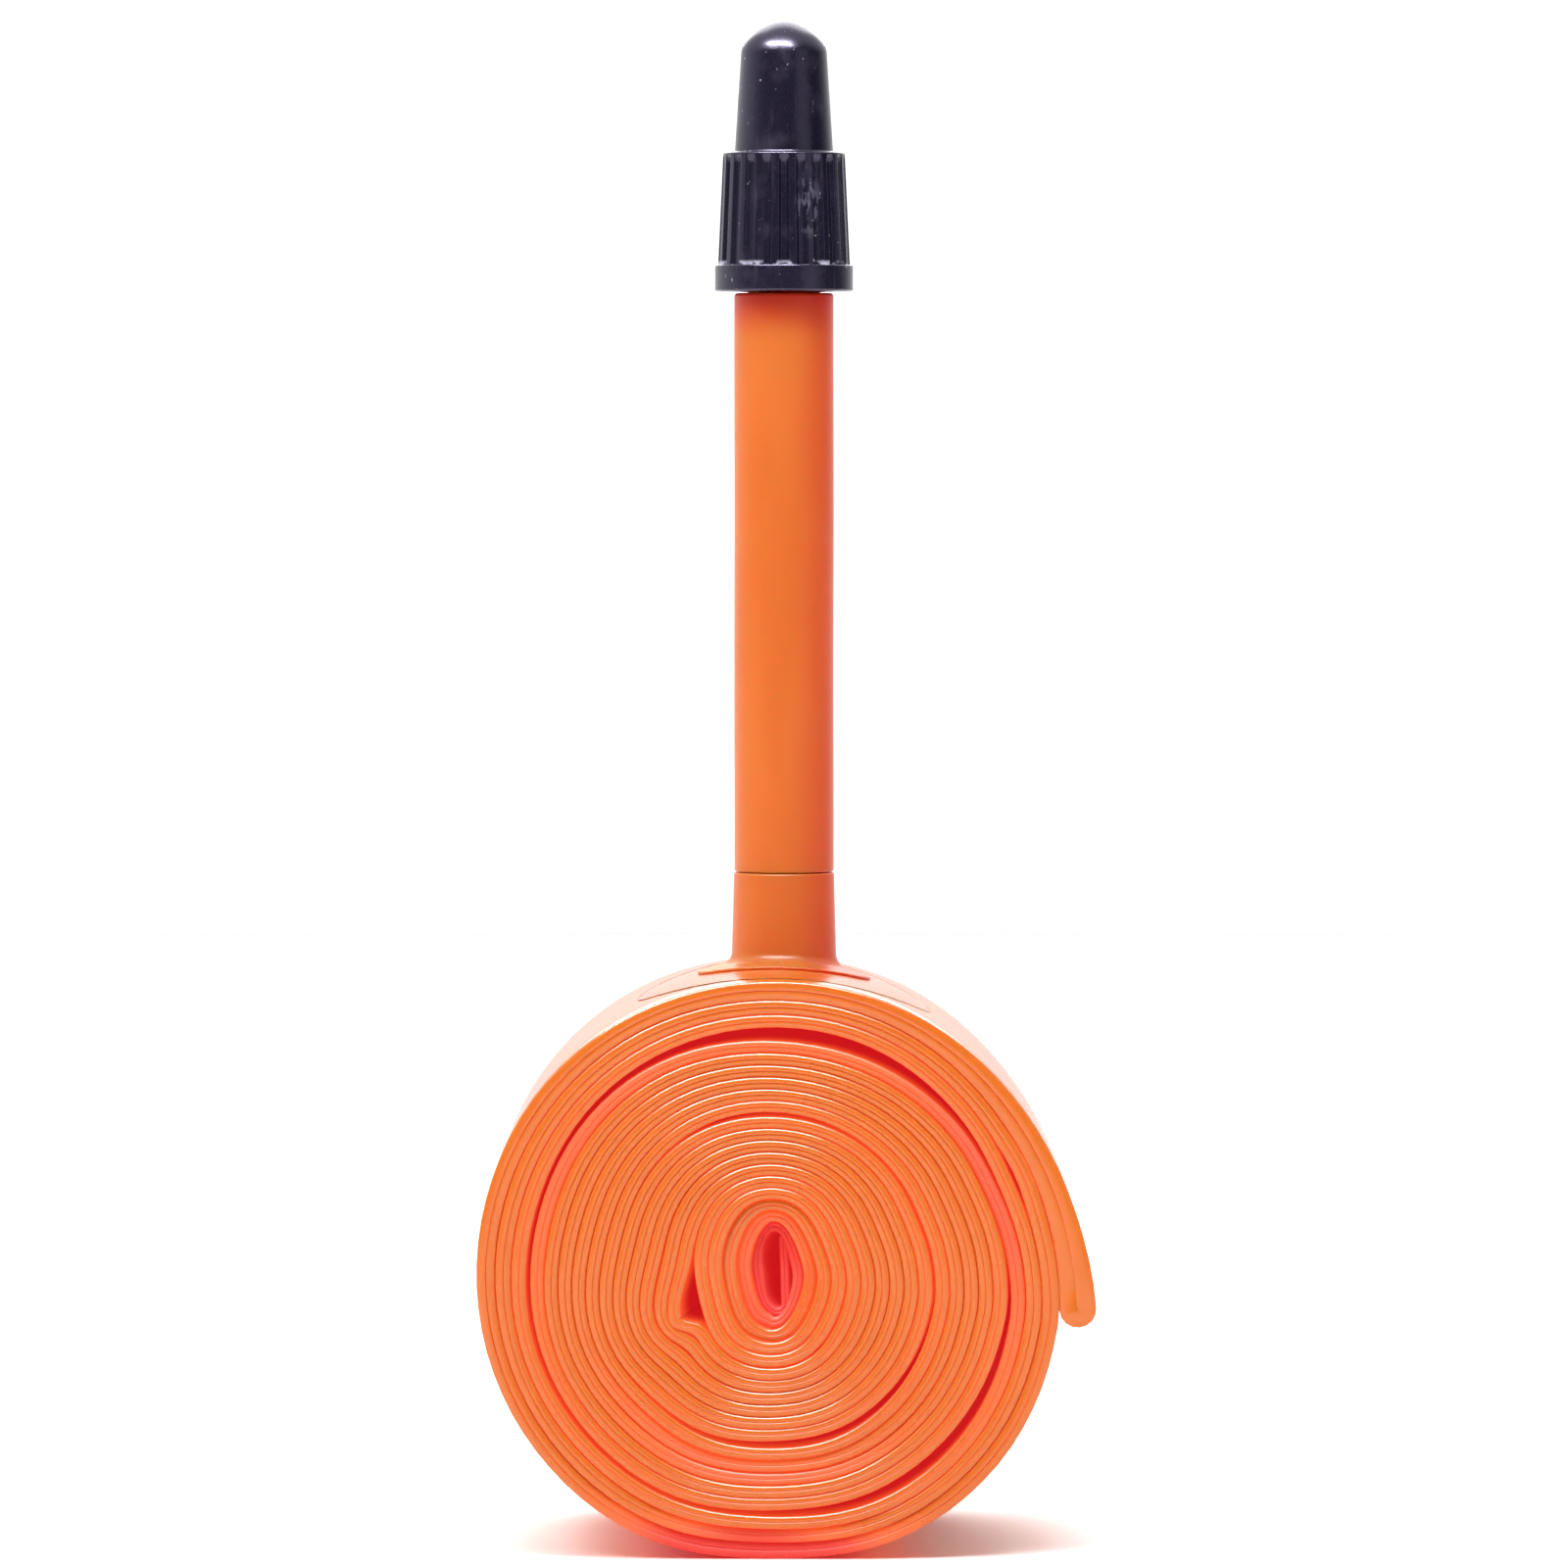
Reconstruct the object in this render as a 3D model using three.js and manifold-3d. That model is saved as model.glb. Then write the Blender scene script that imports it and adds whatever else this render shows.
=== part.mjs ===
import * as THREE from 'three';
import { mergeVertices } from 'three/addons/utils/BufferGeometryUtils.js';
import Module from 'manifold-3d';

// A light road-bicycle inner tube in plastic film, emptied, doubled and rolled up. It stands on
// the roll with its valve upright. Millimetres, +Z up, +Y back along the roll. The origin is on
// the surface that the roll stands on, under the valve.

const wasm = await Module();
wasm.setup();

const fullTurn = 2 * Math.PI;

// Film tube
const tubeLength = 2350; // once round the closed tube
const flatWidth = 30; // emptied and pressed flat
const filmWall = 0.19;
const lapGap = 0.09; // air between one turn of the roll and the next
const coreOpening = 2.8; // outer radius of the innermost turn
const lapFacets = 28; // flats in one turn of the roll
const tipFacet = 6.5; // flats from straight down to the free end
const flapSpan = 1.22; // radians over which the free end lifts off the roll
const flapLift = 1.5;
const flapSwell = 1.15; // how much the fold at the free end is thicker than the strip
const flapCurl = 1.6;
const footSag = 0.45; // how far the roll is pressed flat where it stands

// Valve patch and moulded base
const patchWall = 0.35;
const patchMargin = 3; // film left bare at each end of the patch
const patchHalfWidth = 9;
const flangeWall = 0.35; // over the middle of the roll
const flangeReach = 2.1; // how far the flange stands out from the collar
const flangeDrop = 2; // depth of the blank that the roll's curve is cut from
const collarHeight = 4.6;
const collarFootWall = 0.88;
const collarTopWall = 0.75;
const spigotLength = 3.4;
const spigotWall = 0.7;

// Stem
const stemLength = 35; // between collar and shoulder
const stemWall = 0.7; // round the sunk end of the neck

// Neck: hard threaded insert at the top of the stem
const neckWall = 0.8;
const neckSunkWall = 0.4;
const neckSunk = 5;
const threadLength = 5.2;

// Valve core
const pinRadius = 0.7;
const pinHeadRadius = 0.95;
const pinHeadHeight = 0.7;
const pinReach = 4.8; // pin above the closed lock nut
const pinTail = 1.1; // pin below the foot
const coreWall = 0.85;
const coreTailWall = 0.5;
const coreTailLength = 2.4; // below the neck
const coreHeadReach = 0.45; // how far the head stands out over the neck's bore
const coreHeadHeight = 1;
const coreFlatDepth = 0.5; // two flats for the core key
const gasketHeight = 1.2;
const gasketDepth = 0.3;
const gasketBelowTop = 2.2;
const sealReach = 0.45;
const sealHeight = 1;
const pinFootReach = 0.3;
const pinFootHeight = 0.9;
const nutWall = 0.95;
const nutHeight = 2.8;
const nutWaist = 0.3;

// Dust cap
const capSkirtWall = 0.71;
const capSkirtDraft = 0.32;
const capRibHeight = 0.22;
const capRibs = 22;
const capRimReach = 0.2; // rim beyond the crests of the ribs
const capRimHeight = 1.6;
const capSkirtAbove = 2.1; // skirt above the core's head
const capDomeWall = 0.92;
const capDomeDraft = 0.37;
const capDomeCrown = 1.9;
const capRoof = 1.6;
const capHeadroom = 0.8;
const capRoofBevel = 1; // between the bore and the roof inside

// Clearances
const weldGap = 0.1; // between pieces that are welded, moulded or pressed together
const threadGap = 0.1;
const capThreadGap = 0.15;
const slideGap = 0.15;
const nutClearance = 0.25;

// Facets round a turned piece
const stemFacets = 32;
const coreFacets = 24;
const crownSteps = 5;

// The valve's patch and base follow the roll this far each side of its top
const crownSpan = Math.PI / 4;

// Roll: one doubled strip, four walls thick, wound inwards from its free end. The face of the
// strip is a spiral that loses one lap for each turn, and the film's area sets its outer radius.
const stripThickness = 4 * filmWall;
const lapPitch = stripThickness + lapGap;
const rollRadius = Math.sqrt(((tubeLength / 2) * lapPitch) / Math.PI + coreOpening ** 2);
const facetAngle = fullTurn / lapFacets;
const tipAngle = -Math.PI / 2 + tipFacet * facetAngle;

// How far along the spiral a point is, in radians from the free end, sets its two faces.
const flapShare = (wound) => Math.max(0, 1 - wound / flapSpan) ** flapCurl;
const outerFace = (wound) =>
  rollRadius - (lapPitch * wound) / fullTurn + flapLift * flapShare(wound);
const innerFace = (wound) => outerFace(wound) - stripThickness - flapSwell * flapShare(wound);

const bottomWound = -Math.PI / 2 - tipAngle + fullTurn;
const rollCentreZ = outerFace(bottomWound) - footSag;
const rollCentreX = (outerFace(Math.PI - tipAngle) - outerFace(0) * Math.cos(tipAngle)) / 2;

// Stack of the valve, from the roll upwards
const valveWound = Math.acos(-rollCentreX / outerFace(Math.PI / 2 - tipAngle)) - tipAngle;
const filmTopZ = rollCentreZ + outerFace(valveWound) * Math.sin(valveWound + tipAngle);
const patchTopZ = filmTopZ + weldGap + patchWall;
const flangeTopZ = patchTopZ + weldGap + flangeWall;
const collarTopZ = flangeTopZ + collarHeight;
const stemBottomZ = collarTopZ + weldGap;
const stemTopZ = stemBottomZ + stemLength;
const capBottomZ = stemTopZ + weldGap;
const neckBottomZ = stemTopZ - neckSunk;
const neckTopZ = stemTopZ + weldGap + threadLength;
const coreHeadZ = neckTopZ + weldGap;
const coreTopZ = coreHeadZ + coreHeadHeight;
const coreBottomZ = neckBottomZ - coreTailLength;
const nutBottomZ = coreTopZ + weldGap;
const nutTopZ = nutBottomZ + nutHeight;
const pinTopZ = nutTopZ + pinReach;
const sealTopZ = coreBottomZ - weldGap;
const footTopZ = sealTopZ - sealHeight - weldGap;
const pinBottomZ = footTopZ - pinFootHeight - pinTail;
const cavityTopZ = pinTopZ + capHeadroom;
const capTopZ = cavityTopZ + capRoof;

// Radii, from the pin outwards
const coreBore = pinRadius + slideGap;
const coreRadius = coreBore + coreWall;
const coreTailRadius = coreBore + coreTailWall;
const airBore = coreTailRadius + slideGap;
const neckBore = coreRadius + threadGap;
const neckSunkRadius = neckBore + neckSunkWall;
const neckRadius = neckBore + neckWall;
const stemSocket = neckSunkRadius + weldGap;
const stemRadius = stemSocket + stemWall;
const spigotRadius = airBore + spigotWall;
const collarSocket = spigotRadius + weldGap;
const flangeRadius = collarSocket + collarFootWall + flangeReach;
const nutRadius = pinRadius + threadGap + nutWall;
const capBore = neckRadius + capThreadGap;
const capTipBore = nutRadius + nutClearance;

const materials = {
  film: { color: 0xf0782d, roughness: 0.35, metalness: 0 },
  moulding: { color: 0xf2701f, roughness: 0.45, metalness: 0 },
  insert: { color: 0xe8651c, roughness: 0.4, metalness: 0 },
  brass: { color: 0xb08d4a, roughness: 0.35, metalness: 1 },
  rubber: { color: 0x1d1d1f, roughness: 0.8, metalness: 0 },
  blackPlastic: { color: 0x191623, roughness: 0.45, metalness: 0 },
};

function piece(name, geometry, finish) {
  const mesh = new THREE.Mesh(geometry, new THREE.MeshStandardMaterial(materials[finish]));
  mesh.name = name;
  return mesh;
}

// Turns a profile of [radius, height] pairs about the vertical axis.
function turned(profile, facets) {
  const points = profile.map(([radius, height]) => new THREE.Vector2(radius, height));
  return new THREE.LatheGeometry(points, facets).rotateX(Math.PI / 2);
}

// Turns a profile that goes round a bore, which is closed by its first point.
const turnedRing = (profile, facets) => turned([...profile, profile[0]], facets);

// Extrudes an upright outline of [x, z] pairs along Y, centred on Y = 0.
function slab(outline, depth) {
  const shape = new THREE.Shape(outline.map(([x, z]) => new THREE.Vector2(x, z)));
  const geometry = new THREE.ExtrudeGeometry(shape, { depth, bevelEnabled: false });
  return geometry.rotateX(Math.PI / 2).translate(0, depth / 2, 0);
}

function toSolid(geometry) {
  const bare = geometry.clone();
  bare.deleteAttribute('normal');
  bare.deleteAttribute('uv');
  const merged = mergeVertices(bare);
  const corners = merged.index.array;
  const kept = [];
  for (let i = 0; i < corners.length; i += 3) {
    const [a, b, c] = corners.slice(i, i + 3);
    if (a !== b && b !== c && c !== a) kept.push(a, b, c);
  }
  return new wasm.Manifold(
    new wasm.Mesh({
      numProp: 3,
      vertProperties: merged.attributes.position.array,
      triVerts: new Uint32Array(kept),
    }),
  );
}

function toGeometry(solid) {
  const mesh = solid.getMesh();
  const geometry = new THREE.BufferGeometry();
  geometry.setAttribute('position', new THREE.BufferAttribute(mesh.vertProperties, 3));
  geometry.setIndex(new THREE.BufferAttribute(mesh.triVerts, 1));
  geometry.computeVertexNormals();
  return geometry;
}

const joined = (first, ...rest) =>
  toGeometry(rest.reduce((solid, next) => solid.add(toSolid(next)), toSolid(first)));
const cut = (blank, ...tools) =>
  toGeometry(tools.reduce((solid, tool) => solid.subtract(toSolid(tool)), toSolid(blank)));
const common = (first, second) => toGeometry(toSolid(first).intersect(toSolid(second)));

// A round rod along Z, or an oval one when the two half-widths differ.
function rod(halfX, halfY, bottom, top, facets) {
  const profile = [[0, bottom], [1, bottom], [1, top], [0, top]];
  return turned(profile, facets).scale(halfX, halfY, 1);
}

// One corner of the strip's outline. Each lap is pressed flat where the roll stands, and the
// flats of the laps inside lie one lap apart.
function stripCorner(face, station, floorOffset) {
  const wound = station * facetAngle;
  const angle = tipAngle + wound;
  const lap = Math.round((wound - bottomWound) / fullTurn);
  const radius = face(wound);
  const x = rollCentreX + radius * Math.cos(angle);
  const z = rollCentreZ + radius * Math.sin(angle);
  const below = Math.sin(angle) < 0;
  return [x, below ? Math.max(z, lap * lapPitch + floorOffset) : z];
}

function casing() {
  const turns = (rollRadius - coreOpening) / lapPitch;
  const stations = [...Array(Math.floor(turns * lapFacets) + 1).keys()];
  const outer = stations.map((station) => stripCorner(outerFace, station, 0));
  const inner = stations.map((station) => stripCorner(innerFace, station, stripThickness));
  const strip = slab([...outer, ...inner.reverse()], flatWidth);
  const hole = rod(airBore, airBore, filmTopZ - filmWall, filmTopZ + flapLift, coreFacets);
  return cut(strip, hole);
}

// The roll's outer face near its top, grown by an offset.
function crownArc(offset) {
  const steps = [...Array(lapFacets + 1).keys()];
  return steps.map((step) => {
    const angle = Math.PI / 2 + crownSpan * ((2 * step) / lapFacets - 1);
    const radius = outerFace(angle - tipAngle) + offset;
    return [rollCentreX + radius * Math.cos(angle), rollCentreZ + radius * Math.sin(angle)];
  });
}

function patch() {
  const halfLength = flatWidth / 2 - patchMargin;
  const sheet = slab(
    [...crownArc(weldGap + patchWall), ...crownArc(weldGap).reverse()],
    flatWidth,
  );
  const bottom = rollCentreZ + rollRadius / 2;
  const outline = rod(patchHalfWidth, halfLength, bottom, flangeTopZ, stemFacets);
  const hole = rod(airBore, airBore, bottom, flangeTopZ, coreFacets);
  return cut(common(sheet, outline), hole);
}

function base() {
  const blank = turnedRing(
    [
      [airBore, patchTopZ - flangeDrop],
      [flangeRadius, patchTopZ - flangeDrop],
      [flangeRadius, flangeTopZ],
      [collarSocket + collarFootWall, flangeTopZ],
      [collarSocket + collarTopWall, collarTopZ],
      [collarSocket, collarTopZ],
      [collarSocket, collarTopZ - spigotLength],
      [airBore, collarTopZ - spigotLength],
    ],
    stemFacets,
  );
  const underCrown = [...crownArc(patchTopZ - filmTopZ + weldGap), [rollCentreX, rollCentreZ]];
  return cut(blank, slab(underCrown, flatWidth));
}

function stem() {
  const spigotBottom = collarTopZ - spigotLength + weldGap;
  return turnedRing(
    [
      [airBore, spigotBottom],
      [spigotRadius, spigotBottom],
      [spigotRadius, stemBottomZ],
      [stemRadius, stemBottomZ],
      [stemRadius, stemTopZ],
      [stemSocket, stemTopZ],
      [stemSocket, neckBottomZ - weldGap],
      [airBore, neckBottomZ - weldGap],
    ],
    stemFacets,
  );
}

function neck() {
  return turnedRing(
    [
      [neckBore, neckBottomZ],
      [neckSunkRadius, neckBottomZ],
      [neckSunkRadius, stemTopZ + weldGap],
      [neckRadius, stemTopZ + weldGap],
      [neckRadius, neckTopZ],
      [neckBore, neckTopZ],
    ],
    stemFacets,
  );
}

function coreBody() {
  const headRadius = neckBore + coreHeadReach;
  const grooveTop = coreHeadZ - gasketBelowTop;
  const grooveBottom = grooveTop - gasketHeight - 2 * weldGap;
  const grooveRadius = coreRadius - gasketDepth;
  const blank = turnedRing(
    [
      [coreBore, coreBottomZ],
      [coreTailRadius, coreBottomZ],
      [coreTailRadius, neckBottomZ + weldGap],
      [coreRadius, neckBottomZ + 2 * weldGap],
      [coreRadius, grooveBottom],
      [grooveRadius, grooveBottom],
      [grooveRadius, grooveTop],
      [coreRadius, grooveTop],
      [coreRadius, coreHeadZ],
      [headRadius, coreHeadZ],
      [headRadius, coreTopZ],
      [coreBore, coreTopZ],
    ],
    coreFacets,
  );
  const flatHeight = coreHeadHeight + 2 * weldGap;
  const flats = [-1, 1].map((side) =>
    new THREE.BoxGeometry(coreFlatDepth * 2, headRadius * 2, flatHeight).translate(
      side * headRadius,
      0,
      coreTopZ - coreHeadHeight / 2,
    ),
  );
  return cut(blank, ...flats);
}

// A plain ring between two radii and two heights.
const ring = (inside, outside, bottom, top) =>
  turnedRing([[inside, bottom], [outside, bottom], [outside, top], [inside, top]], coreFacets);

function gasket() {
  const top = coreHeadZ - gasketBelowTop - weldGap;
  return ring(coreRadius - gasketDepth + weldGap, coreRadius, top - gasketHeight, top);
}

function pin() {
  return turned(
    [
      [0, pinBottomZ],
      [pinRadius, pinBottomZ],
      [pinRadius, pinTopZ - pinHeadHeight],
      [pinHeadRadius, pinTopZ - pinHeadHeight],
      [pinHeadRadius, pinTopZ - pinHeadHeight / 2],
      [pinRadius, pinTopZ],
      [0, pinTopZ],
    ],
    coreFacets,
  );
}

function lockNut() {
  const bore = pinRadius + threadGap;
  const middle = nutBottomZ + nutHeight / 2;
  return turnedRing(
    [
      [bore, nutBottomZ],
      [nutRadius - nutWaist, nutBottomZ],
      [nutRadius, nutBottomZ + nutWaist],
      [nutRadius, middle],
      [nutRadius - nutWaist, nutTopZ],
      [bore, nutTopZ],
    ],
    coreFacets,
  );
}

function cap() {
  const skirtTopZ = coreTopZ + capSkirtAbove;
  const skirtBottomZ = capBottomZ + capRimHeight;
  const skirtTopRoot = capBore + capSkirtWall;
  const skirtBottomRoot = skirtTopRoot + capSkirtDraft;
  const rimRadius = skirtBottomRoot + capRibHeight + capRimReach;
  const domeRadius = capTipBore + capDomeWall;
  const crownRadius = domeRadius - capDomeDraft;
  const crownZ = capTopZ - capDomeCrown;
  const crown = [...Array(crownSteps).keys()].map((step) => {
    const angle = (step / crownSteps) * (Math.PI / 2);
    return [crownRadius * Math.cos(angle), crownZ + capDomeCrown * Math.sin(angle)];
  });
  const shell = turned(
    [
      [0, cavityTopZ],
      [capTipBore - capRoofBevel, cavityTopZ],
      [capTipBore, cavityTopZ - capRoofBevel],
      [capTipBore, coreTopZ + capSkirtAbove / 2],
      [capBore, coreTopZ + nutClearance],
      [capBore, capBottomZ],
      [rimRadius, capBottomZ],
      [rimRadius, skirtBottomZ],
      [skirtBottomRoot, skirtBottomZ],
      [skirtTopRoot, skirtTopZ],
      [domeRadius, skirtTopZ],
      ...crown,
      [0, capTopZ],
    ],
    stemFacets,
  );
  const ribWidth = (Math.PI * (skirtTopRoot + capRibHeight)) / capRibs / 2;
  const ribs = [...Array(capRibs).keys()].map((index) => {
    const sunk = capRibHeight;
    const rib = slab(
      [
        [skirtBottomRoot - sunk, skirtBottomZ - sunk],
        [skirtBottomRoot + capRibHeight, skirtBottomZ - sunk],
        [skirtTopRoot + capRibHeight, skirtTopZ - capRibHeight],
        [skirtTopRoot, skirtTopZ],
        [skirtTopRoot - sunk, skirtTopZ],
      ],
      ribWidth,
    );
    return rib.rotateZ((index / capRibs) * fullTurn);
  });
  return joined(shell, ...ribs);
}

const innerTube = new THREE.Group();
innerTube.add(
  piece('tube_casing', casing(), 'film'),
  piece('valve_patch', patch(), 'film'),
  piece('valve_base', base(), 'moulding'),
  piece('valve_stem', stem(), 'moulding'),
  piece('threaded_neck', neck(), 'insert'),
  piece('core_body', coreBody(), 'brass'),
  piece('core_gasket', gasket(), 'rubber'),
  piece('core_pin', pin(), 'brass'),
  piece(
    'pin_seal',
    ring(pinRadius + weldGap, coreBore + sealReach, sealTopZ - sealHeight, sealTopZ),
    'rubber',
  ),
  piece(
    'pin_foot',
    ring(pinRadius + weldGap, coreBore + pinFootReach, footTopZ - pinFootHeight, footTopZ),
    'brass',
  ),
  piece('lock_nut', lockNut(), 'brass'),
  piece('dust_cap', cap(), 'blackPlastic'),
);

export default innerTube;
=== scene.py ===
import math
import bpy
import numpy as np
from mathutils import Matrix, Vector


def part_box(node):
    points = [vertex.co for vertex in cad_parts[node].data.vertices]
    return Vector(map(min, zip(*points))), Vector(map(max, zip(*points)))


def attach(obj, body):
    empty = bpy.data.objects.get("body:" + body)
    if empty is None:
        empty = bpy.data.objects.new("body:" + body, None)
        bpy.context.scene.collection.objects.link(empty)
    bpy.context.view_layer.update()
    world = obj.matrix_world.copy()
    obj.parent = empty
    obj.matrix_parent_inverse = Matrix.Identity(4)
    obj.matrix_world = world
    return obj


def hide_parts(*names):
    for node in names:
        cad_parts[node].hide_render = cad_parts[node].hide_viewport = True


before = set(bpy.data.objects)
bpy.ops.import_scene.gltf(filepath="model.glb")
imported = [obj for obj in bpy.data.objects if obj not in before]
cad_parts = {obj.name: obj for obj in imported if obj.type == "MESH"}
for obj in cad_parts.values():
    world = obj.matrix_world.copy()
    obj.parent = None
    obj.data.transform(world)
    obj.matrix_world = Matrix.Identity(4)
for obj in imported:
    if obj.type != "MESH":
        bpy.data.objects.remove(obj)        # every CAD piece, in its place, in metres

mm = 0.001
fullTurn = 2 * math.pi
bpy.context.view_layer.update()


def corners(node):
    # lowest and highest corner of a CAD node
    low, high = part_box(node)
    return np.array(low), np.array(high)


def smooth(x):
    # 0 below 0, 1 above 1, and an S between: 3x^2 - 2x^3
    x = np.clip(x, 0, 1)
    return x * x * (3 - 2 * x)


def hump(x, width):
    # a bell, 1 at x = 0: e to the minus (x / width) squared
    return np.exp(-(np.asarray(x, float) / width) ** 2)


def waves(x, seed, count, longest):
    # a sum of sines of random height and start, each shorter than the last; about -1 to 1
    draw = np.random.default_rng(seed)
    x = np.asarray(x, float)
    total = np.zeros(x.shape)
    for k in range(1, count + 1):
        total += draw.normal(0, 1 / k) * np.sin(k * fullTurn * x / longest + draw.uniform(0, fullTurn))
    return total / 2


def outward(points, quads, triangles):
    # volume from the faces as signed tetrahedra; when it comes out negative, every face is turned over
    fans = np.concatenate([quads[:, [0, 1, 2]], quads[:, [0, 2, 3]], triangles])
    a, b, c = (points[fans[:, k]] for k in range(3))
    volume = np.einsum("ij,ij->i", a, np.cross(b, c)).sum()
    if volume < 0:
        return quads[:, ::-1], triangles[:, ::-1]
    return quads, triangles


def surface(name, rings, closed=False, poles=None, maps=None):
    # rings[i, j]: i runs along the piece, j once round it. A closed piece joins its last ring to its
    # first. An open one is closed at each end by a fan to that end's pole. maps holds UV maps by name.
    rings = np.asarray(rings, float)
    count, around = rings.shape[:2]
    i, j = np.meshgrid(np.arange(count if closed else count - 1), np.arange(around), indexing="ij")
    iNext, jNext = (i + 1) % count, (j + 1) % around
    quads = np.stack([i * around + j, iNext * around + j, iNext * around + jNext, i * around + jNext], -1)
    quads = quads.reshape(-1, 4)
    points = rings.reshape(-1, 3)
    triangles = np.zeros((0, 3), int)
    if poles is not None:
        edge = np.arange(around)
        nextEdge = (edge + 1) % around
        last = (count - 1) * around
        first, end = len(points), len(points) + 1
        points = np.vstack([points, poles])
        triangles = np.vstack([
            np.stack([np.full(around, first), edge, nextEdge], -1),
            np.stack([np.full(around, end), last + nextEdge, last + edge], -1),
        ])
    quads, triangles = outward(points, quads, triangles)
    mesh = bpy.data.meshes.new(name)
    mesh.from_pydata(points.tolist(), [], quads.tolist() + triangles.tolist())
    loops = np.empty(len(mesh.loops), int)
    mesh.loops.foreach_get("vertex_index", loops)
    for label, values in (maps or {}).items():
        layer = mesh.uv_layers.new(name=label)
        layer.data.foreach_set("uv", np.asarray(values, float).reshape(-1, 2)[loops].ravel())
    mesh.polygons.foreach_set("use_smooth", np.ones(len(mesh.polygons), bool))
    mesh.update()
    piece = bpy.data.objects.new(name, mesh)
    bpy.context.scene.collection.objects.link(piece)
    return piece


def rounded(outline, steps=5):
    # outline: [radius, height, corner radius]. Each corner becomes an arc tangent to its two sides,
    # with one more point just before and after it so that the flats stay flat.
    outline = np.asarray(outline, float)
    path = []
    for k, (r, z, bend) in enumerate(outline):
        here = np.array([r, z])
        if bend == 0 or k in (0, len(outline) - 1):
            path.append(here[None])
            continue
        before, after = outline[k - 1, :2] - here, outline[k + 1, :2] - here
        lengths = np.linalg.norm(before), np.linalg.norm(after)
        before, after = before / lengths[0], after / lengths[1]
        half = math.acos(np.clip(np.dot(before, after), -1, 1)) / 2
        reach = min(bend / math.tan(half), 0.45 * min(lengths))
        middle = here + (before + after) / np.linalg.norm(before + after) * reach / math.cos(half)
        start, end = here + before * reach, here + after * reach
        share = np.linspace(0, 1, steps + 1)[:, None]
        arc = start + (end - start) * share - middle
        size = np.linalg.norm(start - middle)
        arc = middle + arc / np.linalg.norm(arc, axis=1)[:, None] * size
        lead = min(0.25 * reach, 0.04 * min(lengths))
        path += [(start + before * lead)[None], arc, (end + after * lead)[None]]
    return np.vstack(path)


def finer(path, step):
    # the same path with more points, no two further apart than step
    parts = []
    for a, b in zip(path[:-1], path[1:]):
        count = max(1, int(math.ceil(np.linalg.norm(b - a) / step)))
        parts.append(a + (b - a) * np.linspace(0, 1, count, endpoint=False)[:, None])
    return np.vstack(parts + [path[-1:]])


def looped(outline, step):
    # a ring's profile: the rounded outline, closed halfway between its last point and its first
    bent = rounded(outline)
    seam = 0.5 * (bent[0] + bent[-1])
    return finer(np.vstack([seam, bent, seam]), step)[:-1]


def turnedPiece(name, path, around=96, shape=None, ring=False):
    # a profile of [radius, height] carried round Z: x = r cos a, y = r sin a. shape(r, z, a) may
    # change the radius. A ring closes on itself; any other piece ends on the axis.
    path = np.asarray(path, float)
    angle = np.arange(around) / around * fullTurn
    inner = path if ring else path[1:-1]
    r = np.repeat(inner[:, :1], around, 1)
    z = np.repeat(inner[:, 1:], around, 1)
    a = np.repeat(angle[None], len(inner), 0)
    if shape is not None:
        r = shape(r, z, a)
    rings = np.stack([r * np.cos(a), r * np.sin(a), z], -1)
    if ring:
        return surface(name, rings, closed=True)
    poles = [[0, 0, path[0, 1]], [0, 0, path[-1, 1]]]
    return surface(name, rings, poles=poles)


class Signal:
    # wraps one socket; arithmetic on signals and numbers adds Math nodes
    def __init__(self, finish, socket):
        self.finish, self.socket = finish, socket

    def maths(self, operation, first, second):
        return self.finish.node("ShaderNodeMath", {"operation": operation}, {0: first, 1: second})

    def __add__(self, other):
        return self.maths("ADD", self, other)

    __radd__ = __add__

    def __mul__(self, other):
        return self.maths("MULTIPLY", self, other)

    __rmul__ = __mul__


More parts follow.
